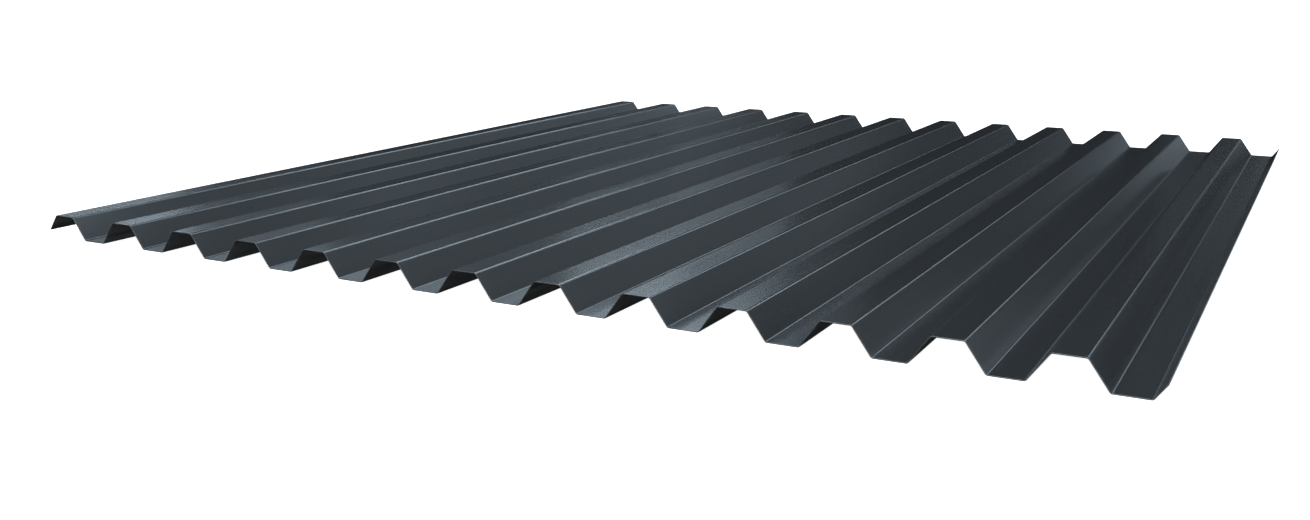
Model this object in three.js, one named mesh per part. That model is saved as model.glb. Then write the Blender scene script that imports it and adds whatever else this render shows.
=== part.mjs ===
// Corrugated steel sheet with a trapezoidal profile, roll-formed in one piece from flat coil.
// Millimetres, +Z up. X runs across the ribs and Y along them. The origin is the middle of the
// sheet in plan, at the level of the undersides of the valleys, which is what it lies on.
import * as THREE from "three";

// Driving dimensions. Flats and webs are measured on the middle of the steel, between the sharp
// corners that the section would have with no bend radius.
const RIB_COUNT = 13;
const PITCH = 75; // from one rib to the next
const PROFILE_HEIGHT = 21; // from the underside of a valley to the top of a crown
const CROWN_FLAT = 22;
const VALLEY_FLAT = 24;
const THICKNESS = 0.75;
const BEND_RADIUS = 2; // on the inside of each bend
const SHEET_LENGTH = 1060;
const FIRST_LIP = 17.5; // how far the first crown's outer web goes down, along its slope
const LAST_LIP = 13.5; // how far the last valley's outer web goes up, along its slope

const BEND_STEPS = 5; // straight pieces that stand for one bend

// Sizes that follow from them.
const RISE = PROFILE_HEIGHT - THICKNESS; // of a web, on the middle of the steel
const RUN = (PITCH - CROWN_FLAT - VALLEY_FLAT) / 2; // of a web
const WEB_SLOPE = new THREE.Vector2(RUN, RISE).normalize();
const MIDDLE_RADIUS = BEND_RADIUS + THICKNESS / 2;

// The section's sharp corners on the middle of the steel, from the first lip's edge to the last.
function sectionCorners() {
  const corners = [];
  for (let rib = 0; rib < RIB_COUNT; rib++) {
    const left = rib * PITCH;
    const valley = left + CROWN_FLAT + RUN;
    corners.push(
      new THREE.Vector2(left, RISE),
      new THREE.Vector2(left + CROWN_FLAT, RISE),
      new THREE.Vector2(valley, 0),
      new THREE.Vector2(valley + VALLEY_FLAT, 0),
    );
  }
  const firstEdge = corners[0].clone().addScaledVector(WEB_SLOPE, -FIRST_LIP);
  const lastEdge = corners.at(-1).clone().addScaledVector(WEB_SLOPE, LAST_LIP);
  return [firstEdge, ...corners, lastEdge];
}

// One face of the sheet, `offset` to the left of the line through the corners. Both faces turn
// about the same centre at a bend, so the steel keeps its thickness all the way round.
function faceLine(corners, offset) {
  const headings = corners.slice(1).map((corner, i) => corner.clone().sub(corners[i]).normalize());
  const leftOf = (heading) => new THREE.Vector2(-heading.y, heading.x);
  const shifted = (corner, heading) => corner.clone().addScaledVector(leftOf(heading), offset);

  const points = [shifted(corners[0], headings[0])];
  for (let i = 1; i < headings.length; i++) {
    const before = headings[i - 1];
    const after = headings[i];
    const turn = Math.atan2(before.cross(after), before.dot(after)); // to the left is positive
    const setBack = MIDDLE_RADIUS * Math.tan(Math.abs(turn) / 2);
    const bendStart = corners[i].clone().addScaledVector(before, -setBack);
    const centre = bendStart.clone().addScaledVector(leftOf(before), Math.sign(turn) * MIDDLE_RADIUS);
    const faceStart = shifted(bendStart, before);
    for (let step = 0; step <= BEND_STEPS; step++) {
      points.push(faceStart.clone().rotateAround(centre, (turn * step) / BEND_STEPS));
    }
  }
  points.push(shifted(corners.at(-1), headings.at(-1)));
  return points;
}

// The closed section: along the lower face, then back along the upper one.
function sheetSection() {
  const corners = sectionCorners();
  const lower = faceLine(corners, -THICKNESS / 2);
  const upper = faceLine(corners, THICKNESS / 2);
  return new THREE.Shape([...lower, ...upper.reverse()]);
}

// The section pushed out along the ribs, centred in plan and lying on its valleys.
function sheetGeometry() {
  const geometry = new THREE.ExtrudeGeometry(sheetSection(), {
    depth: SHEET_LENGTH,
    bevelEnabled: false,
  });
  geometry.rotateX(Math.PI / 2);
  geometry.computeBoundingBox();
  const { min, max } = geometry.boundingBox;
  return geometry.translate(-(min.x + max.x) / 2, -(min.y + max.y) / 2, -min.z);
}

const coatedSteel = new THREE.MeshStandardMaterial({
  name: "coated_steel",
  color: "#444c52",
  roughness: 0.45,
  metalness: 0,
});

const sheet = new THREE.Mesh(sheetGeometry(), coatedSteel);
sheet.name = "corrugated_sheet";

const corrugatedSheet = new THREE.Group();
corrugatedSheet.add(sheet);

export default corrugatedSheet;
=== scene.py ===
"""A coil-coated steel sheet with trapezoidal ribs, lying on a pale studio floor."""
from math import atan2, copysign, cos, pi, radians, sin, tan

import bmesh
import bpy
from mathutils import Matrix, Vector


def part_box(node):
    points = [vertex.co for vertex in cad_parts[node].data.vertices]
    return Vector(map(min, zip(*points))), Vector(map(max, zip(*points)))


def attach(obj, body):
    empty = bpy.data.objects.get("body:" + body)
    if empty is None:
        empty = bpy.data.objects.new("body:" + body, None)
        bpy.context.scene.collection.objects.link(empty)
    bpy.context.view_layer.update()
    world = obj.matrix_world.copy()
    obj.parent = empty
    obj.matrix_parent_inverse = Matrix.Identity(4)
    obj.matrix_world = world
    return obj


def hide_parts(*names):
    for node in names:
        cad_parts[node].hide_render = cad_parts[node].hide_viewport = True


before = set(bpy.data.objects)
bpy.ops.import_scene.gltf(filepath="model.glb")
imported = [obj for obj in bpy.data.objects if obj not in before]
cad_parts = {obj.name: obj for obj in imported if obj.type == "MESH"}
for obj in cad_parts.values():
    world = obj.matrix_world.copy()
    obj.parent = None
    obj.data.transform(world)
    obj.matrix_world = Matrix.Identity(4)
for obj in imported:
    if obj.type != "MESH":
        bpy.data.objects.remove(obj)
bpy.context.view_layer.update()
SHEET_LOW, SHEET_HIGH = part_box("corrugated_sheet")

MM = 0.001

# The rolled section, in millimetres, on the middle of the steel and between sharp corners.
RIB_COUNT = 13
PITCH = 75.0
CROWN_FLAT = 22.0
VALLEY_FLAT = 24.0
THICKNESS = 0.75
BEND_RADIUS = 2.0  # on the inside of each bend
FIRST_LIP = 17.5  # how far the first crown's outer web goes down, along its slope
LAST_LIP = 13.5  # how far the last valley's outer web goes up, along its slope
BEND_STEPS = 12  # straight pieces in one bend
EDGE_BREAK = 0.1  # the small rounding that the shear leaves round a cut end

RISE = (SHEET_HIGH[2] - SHEET_LOW[2]) / MM - THICKNESS
RUN = (PITCH - CROWN_FLAT - VALLEY_FLAT) / 2
WEB_SLOPE = Vector((RUN, RISE)).normalized()
MIDDLE_RADIUS = BEND_RADIUS + THICKNESS / 2

TOPCOAT, BACKING, BARE_EDGE = range(3)  # the sheet's material slots

NOISE_LOW, NOISE_HIGH = 0.25, 0.75  # nearly all of a noise texture's values lie between these
RAMP_LOW, RAMP_HIGH = 0.3, 0.7  # and most of them between these


# ---------------------------------------------------------------- materials

def srgb(code):
    """An sRGB hex value such as "#383e42" as the linear colour that a shader takes."""
    channels = [int(code[i:i + 2], 16) / 255 for i in (1, 3, 5)]
    linear = [c / 12.92 if c <= 0.04045 else ((c + 0.055) / 1.055) ** 2.4 for c in channels]
    return (*linear, 1.0)


def new_material(name, **settings):
    """A material with its Principled shader's own sockets set by name."""
    material = bpy.data.materials.new(name)
    material.use_nodes = True
    shader = material.node_tree.nodes["Principled BSDF"]
    for socket, value in settings.items():
        shader.inputs[socket.replace("_", " ")].default_value = value
    return material, material.node_tree, shader


def add_node(tree, kind, settings=None, inputs=None):
    """Adds one node, with its settings and with values or links for its inputs."""
    node = tree.nodes.new(kind)
    for key, value in (settings or {}).items():
        setattr(node, key, value)
    for key, value in (inputs or {}).items():
        if isinstance(value, bpy.types.NodeSocket):
            tree.links.new(value, node.inputs[key])
        else:
            node.inputs[key].default_value = value
    return node


def grain(tree, size, detail=2.0, stretch=(1.0, 1.0, 1.0)):
    """Noise with features about `size` millimetres across, each axis drawn out by `stretch`."""
    place = add_node(tree, "ShaderNodeTexCoord")
    spread = add_node(tree, "ShaderNodeMapping", inputs={
        "Vector": place.outputs["Object"],
        "Scale": [1 / (size * MM * factor) for factor in stretch],
    })
    noise = add_node(tree, "ShaderNodeTexNoise", inputs={
        "Vector": spread.outputs["Vector"],
        "Scale": 1.0,
        "Detail": detail,
    })
    return noise.outputs["Fac"]


def between(tree, driver, low, high):
    """Takes noise to a range of numbers, so that it covers the whole range."""
    mapped = add_node(tree, "ShaderNodeMapRange", inputs={
        "Value": driver,
        "From Min": NOISE_LOW,
        "From Max": NOISE_HIGH,
        "To Min": low,
        "To Max": high,
    })
    return mapped.outputs["Result"]


def shades(tree, driver, low, high):
    """Takes noise to the colours between two hex values."""
    ramp = add_node(tree, "ShaderNodeValToRGB", inputs={"Fac": driver})
    ramp.color_ramp.elements[0].position = RAMP_LOW
    ramp.color_ramp.elements[0].color = srgb(low)
    ramp.color_ramp.elements[1].position = RAMP_HIGH
    ramp.color_ramp.elements[1].color = srgb(high)
    return ramp.outputs["Color"]


def bump(tree, height, depth, under=None):
    """Relief of `depth` millimetres, on top of another relief if there is one."""
    inputs = {"Height": height, "Distance": depth * MM, "Strength": 1.0}
    if under:
        inputs["Normal"] = under
    return add_node(tree, "ShaderNodeBump", inputs=inputs).outputs["Normal"]


def polyester_topcoat():
    """Anthracite polyester, rolled on wet as coil and baked to a satin gloss.

    Reflections are soft but clearly there, the fine orange peel breaks up their edges, and the
    applicator roller leaves faint streaks along the sheet, 5 mm apart. The pigment is really far
    finer than 0.9 mm, and is drawn as coarse as it needs to show.
    """
    material, tree, shader = new_material("polyester_topcoat", IOR=1.5)
    streaks = grain(tree, 5, stretch=(1, 60, 1))
    peel = grain(tree, 0.8)
    pigment = grain(tree, 0.9, detail=1)
    tree.links.new(shades(tree, pigment, "#33373a", "#383c3f"), shader.inputs["Base Color"])
    tree.links.new(between(tree, streaks, 0.165, 0.195), shader.inputs["Roughness"])
    tree.links.new(bump(tree, pigment, 0.0006, bump(tree, peel, 0.0008)), shader.inputs["Normal"])
    return material


def backing_coat():
    """Epoxy backing coat, rolled on thin and baked, so it is dull and its cover streaky.

    Its tooth is drawn at 0.7 mm, which is coarser than it is, so that it shows.
    """
    material, tree, shader = new_material("epoxy_backing_coat", IOR=1.5, Specular_IOR_Level=0.3)
    cover = grain(tree, 6, detail=4, stretch=(1, 12, 1))
    tooth = grain(tree, 0.7)
    tree.links.new(shades(tree, cover, "#15181a", "#24282a"), shader.inputs["Base Color"])
    tree.links.new(between(tree, cover, 0.6, 0.8), shader.inputs["Roughness"])
    tree.links.new(bump(tree, tooth, 0.01), shader.inputs["Normal"])
    return material


def sheared_edge():
    """Bare steel and zinc where the shear went through, which leaves a light grey, torn line.

    The tear marks are coarser than the real ones, so that they show on so thin an edge.
    """
    material, tree, shader = new_material("sheared_steel_edge", Metallic=1.0)
    tear = grain(tree, 0.6, detail=4, stretch=(0.4, 1, 2))
    tree.links.new(shades(tree, tear, "#9aa2a7", "#bcc4c9"), shader.inputs["Base Color"])
    tree.links.new(between(tree, tear, 0.45, 0.65), shader.inputs["Roughness"])
    tree.links.new(bump(tree, tear, 0.03), shader.inputs["Normal"])
    return material


def opal_acrylic(name, sampling):
    """Opal acrylic lit from behind, so it is evenly white with hardly a shadow on it.

    `sampling` says whether it counts among the lamps. "NONE" suits a wall that lights nothing.
    """
    material, _, _ = new_material(
        name,
        Base_Color=srgb("#f4f4f4"),
        Roughness=0.9,
        Emission_Color=srgb("#ffffff"),
        Emission_Strength=OPAL_GLOW,
    )
    material.cycles.emission_sampling = sampling
    return material


# ---------------------------------------------------------------- the sheet

def section_corners():
    """The section's sharp corners on the middle of the steel, from the first lip to the last."""
    corners = []
    for rib in range(RIB_COUNT):
        left = rib * PITCH
        valley = left + CROWN_FLAT + RUN
        corners += [
            Vector((left, RISE)),
            Vector((left + CROWN_FLAT, RISE)),
            Vector((valley, 0)),
            Vector((valley + VALLEY_FLAT, 0)),
        ]
    return [corners[0] - WEB_SLOPE * FIRST_LIP, *corners, corners[-1] + WEB_SLOPE * LAST_LIP]


def left_of(heading):
    return Vector((-heading.y, heading.x))


def face_line(offset, inset):
    """One face of the sheet, `offset` to the left of the line through the section's corners.

    Both faces turn about the same centre at a bend, so the steel keeps its thickness. Each point
    comes with the face's own normal there, which is square to a flat and radial on a bend. The
    line stops `inset` short of the section's two ends.
    """
    corners = section_corners()
    headings = [(b - a).normalized() for a, b in zip(corners, corners[1:])]
    first, last = headings[0], headings[-1]
    line = [(corners[0] + first * inset + left_of(first) * offset, first)]
    for corner, before, after in zip(corners[1:], headings, headings[1:]):
        turn = atan2(before.x * after.y - before.y * after.x, before.dot(after))
        bend_start = corner - before * MIDDLE_RADIUS * tan(abs(turn) / 2)
        centre = bend_start + left_of(before) * copysign(MIDDLE_RADIUS, turn)
        arm = bend_start + left_of(before) * offset - centre
        for step in range(BEND_STEPS + 1):
            turned = Matrix.Rotation(turn * step / BEND_STEPS, 2)
            line.append((centre + turned @ arm, turned @ before))
    line.append((corners[-1] - last * inset + left_of(last) * offset, last))
    outward = copysign(1, offset)
    return [(point, left_of(heading) * outward) for point, heading in line]


def closed_section(inset=0.0):
    """The section's outline, along the lower face and back along the upper one."""
    lower = face_line(inset - THICKNESS / 2, inset)
    upper = face_line(THICKNESS / 2 - inset, inset)
    return lower + upper[::-1]


def section_rings(mesh):
    """Four outlines of the section: at the two cut ends, and where their broken edges begin."""
    full, broken = closed_section(), closed_section(EDGE_BREAK)
    middle = (min(p.x for p, n in full) + max(p.x for p, n in full)) / 2
    low = min(p.y for p, n in full)
    near, far, edge = SHEET_LOW[1], SHEET_HIGH[1], EDGE_BREAK * MM
    places = ((near, broken), (near + edge, full), (far - edge, full), (far, broken))
    return [
        [mesh.verts.new(((p.x - middle) * MM, y, (p.y - low) * MM)) for p, n in outline]
        for y, outline in places
    ]


def join_rings(mesh, rings):
    """Joins each outline to the next. Only the two faces between the middle ones are coated.

    The first half of an outline is the lower face. Where one half meets the other is a slit side.
    """
    count = len(rings[0])
    half = count // 2
    for ring, following in zip(rings, rings[1:]):
        for i in range(count):
            j = (i + 1) % count
            face = mesh.faces.new((ring[i], ring[j], following[j], following[i]))
            face.material_index = BARE_EDGE
            if ring is rings[1] and j not in (0, half):
                face.material_index = BACKING if j < half else TOPCOAT
                face.smooth = True


def cap(mesh, ring):
    """Fills a cut end, in strips across the thickness of the steel."""
    for i in range(len(ring) // 2 - 1):
        j = len(ring) - 1 - i
        face = mesh.faces.new((ring[i], ring[j], ring[j - 1], ring[i + 1]))
        face.material_index = BARE_EDGE


def shade_bends(data):
    """Gives the two faces the section's own normals, so flats stay flat and bends stay round."""
    section_normals = [Vector((n.x, 0, n.y)) for p, n in closed_section()]
    count = len(section_normals)
    normals = []
    for polygon in data.polygons:
        for vertex in polygon.vertices:
            smooth = section_normals[vertex % count]
            normals.append(smooth if polygon.use_smooth else polygon.normal)
    data.normals_split_custom_set(normals)


def sheet_mesh():
    """The rolled sheet as one closed mesh."""
    mesh = bmesh.new()
    rings = section_rings(mesh)
    join_rings(mesh, rings)
    cap(mesh, rings[0])
    cap(mesh, rings[-1])
    bmesh.ops.recalc_face_normals(mesh, faces=mesh.faces)
    data = bpy.data.meshes.new("rolled_sheet")
    mesh.to_mesh(data)
    mesh.free()
    shade_bends(data)
    return data


def rolled_sheet():
    """The sheet with its two coats and its bare edges, in place of the CAD's."""
    data = sheet_mesh()
    for material in (polyester_topcoat(), backing_coat(), sheared_edge()):
        data.materials.append(material)
    sheet = bpy.data.objects.new("rolled_sheet", data)
    bpy.context.scene.collection.objects.link(sheet)
    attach(sheet, "root")
    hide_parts("corrugated_sheet")


# ---------------------------------------------------------------- studio

CAMERA_AT = Vector((567, -1317, 260)) * MM
CAMERA_AIM = Vector((51.5, -350, 0)) * MM
LENS_MM = 36.0
NEAREST_SEEN = 0.01  # metres, from the lens

# The room, in metres.
FLOOR_SIDE = 60
WALL_RADIUS = 29
WALL_HEIGHT = 24
WALL_SIDES = 96
SOFTBOX_DISTANCE = 8.0

OPAL_GLOW = 1.0  # of the floor and the wall
WHITE = (1.0, 1.0, 1.0)
COOL = (0.71, 0.87, 1.0)


def studio_floor():
    """A level floor, far larger than the view. It isn't mirrored in the sheet."""
    bpy.ops.mesh.primitive_plane_add(size=FLOOR_SIDE)
    floor = bpy.context.object
    floor.name = "studio_floor"
    floor.visible_glossy = False
    floor.data.materials.append(opal_acrylic("opal_acrylic_table", "AUTO"))


def backdrop():
    """A round wall as white as the floor, for low views. It isn't mirrored and lights nothing."""
    bpy.ops.mesh.primitive_cylinder_add(
        vertices=WALL_SIDES,
        radius=WALL_RADIUS,
        depth=WALL_HEIGHT,
        end_fill_type="NOTHING",
        location=(0, 0, WALL_HEIGHT / 2),
    )
    wall = bpy.context.object
    wall.name = "backdrop"
    wall.visible_glossy = False
    wall.visible_diffuse = False
    wall.data.materials.append(opal_acrylic("opal_acrylic_wall", "NONE"))


def aim(thing, target):
    """Turns a camera or a lamp to face a point."""
    thing.rotation_euler = (target - thing.location).to_track_quat("-Z", "Y").to_euler()


def camera():
    """The camera, in front of the near right-hand corner and looking down a little."""
    data = bpy.data.cameras.new("camera")
    data.lens = LENS_MM
    data.clip_start = NEAREST_SEEN
    eye = bpy.data.objects.new("camera", data)
    bpy.context.scene.collection.objects.link(eye)
    eye.location = CAMERA_AT
    aim(eye, CAMERA_AIM)
    bpy.context.scene.camera = eye


def direction(azimuth, elevation):
    """A unit vector. Azimuth 0 is straight behind the sheet and 90 is on its right."""
    across, up = radians(azimuth), radians(elevation)
    return Vector((sin(across) * cos(up), cos(across) * cos(up), sin(up)))


def softbox(name, azimuth, elevation, size, radiance, colour):
    """A softbox that faces the middle of the sheet.

    Its width and height are in metres, and it looks as bright as `radiance` from anywhere.
    """
    width, height = size
    data = bpy.data.lights.new(name, "AREA")
    data.color = colour
    data.shape = "RECTANGLE"
    data.size = width
    data.size_y = height
    data.energy = radiance * width * height * pi
    lamp = bpy.data.objects.new(name, data)
    bpy.context.scene.collection.objects.link(lamp)
    lamp.location = SOFTBOX_DISTANCE * direction(azimuth, elevation)
    lamp.visible_camera = False
    aim(lamp, Vector((0, 0, 0)))


def room_lights():
    """Large white softboxes in front, above and at both sides, for the even light."""
    softbox("front_bank", 165, 45, (10.0, 4.0), 2.1, WHITE)
    softbox("top_bank", 180, 78, (7.0, 5.0), 2.4, WHITE)
    softbox("front_low", 180, 14, (12.0, 2.0), 0.35, WHITE)
    softbox("right_wall", 95, 25, (6.0, 3.0), 0.8, WHITE)
    softbox("left_wall", -100, 25, (6.0, 3.0), 0.6, WHITE)


def overhead_lights():
    """Cool softboxes high behind and on the left, which the bends mirror as light lines."""
    softbox("canopy", -5, 52, (2.0, 2.0), 5.0, COOL)
    softbox("canopy_right", 25, 52, (2.0, 1.6), 4.2, COOL)
    softbox("overhead_bank", -10, 40, (3.2, 1.5), 2.8, COOL)
    softbox("left_high", -35, 30, (1.2, 1.1), 5.8, COOL)
    softbox("left_mid", -25, 30, (1.2, 1.1), 2.1, COOL)
    softbox("left_low", -28, 23, (1.2, 0.8), 5.5, COOL)


def low_left_lights():
    """Small, cool softboxes low on the left, which the crowns mirror."""
    softbox("left_strip", -30.5, 15.9, (0.8, 0.6), 0.7, COOL)
    softbox("left_edge", -36, 14, (1.1, 0.5), 0.18, COOL)
    softbox("left_foot", -25, 12, (0.8, 0.6), 0.3, COOL)
    softbox("left_floor", -26.5, 6.4, (0.5, 0.3), 0.1, COOL)
    softbox("left_inner", -21, 17.5, (0.8, 0.5), 0.2, COOL)
    softbox("far_left", -58, 17.5, (1.4, 1.0), 4.4, COOL)
    softbox("far_left_fade", -50.5, 17, (1.2, 0.8), 1.05, COOL)
    softbox("far_left_tail", -43.5, 17, (1.0, 0.7), 0.5, COOL)


def rear_lights():
    """Cool softboxes behind and on the right, which the webs and the farther bends mirror."""
    softbox("rear_strip", 5, 30, (1.2, 1.1), 4.3, COOL)
    softbox("rear_thread", 7.5, 20.5, (0.9, 0.5), 1.2, COOL)
    softbox("rear_right_panel", 18, 33, (4.5, 3.7), 0.43, COOL)
    softbox("right_high", 25, 34, (0.9, 0.6), 0.45, COOL)
    softbox("right_strip", 19.5, 17, (1.7, 0.8), 0.25, COOL)
    softbox("right_edge", 25, 9, (0.8, 1.0), 0.26, COOL)
    softbox("rear_low", 15, 9.5, (4.1, 2.3), 0.065, COOL)
    softbox("rear_spot", 0.5, 10, (1.2, 0.6), 0.07, COOL)
    softbox("bend_top", 4.2, 23.2, (0.5, 0.7), 1.8, COOL)
    softbox("bend_strip", 4.8, 18, (0.45, 1.0), 0.9, COOL)
    softbox("bend_foot", 6.7, 6.3, (0.6, 0.5), 0.28, COOL)
    softbox("low_spot", 9.2, 3.2, (1.0, 0.5), 0.4, COOL)


rolled_sheet()
studio_floor()
backdrop()
camera()
room_lights()
overhead_lights()
low_left_lights()
rear_lights()
bpy.context.scene.view_settings.view_transform = "Standard"
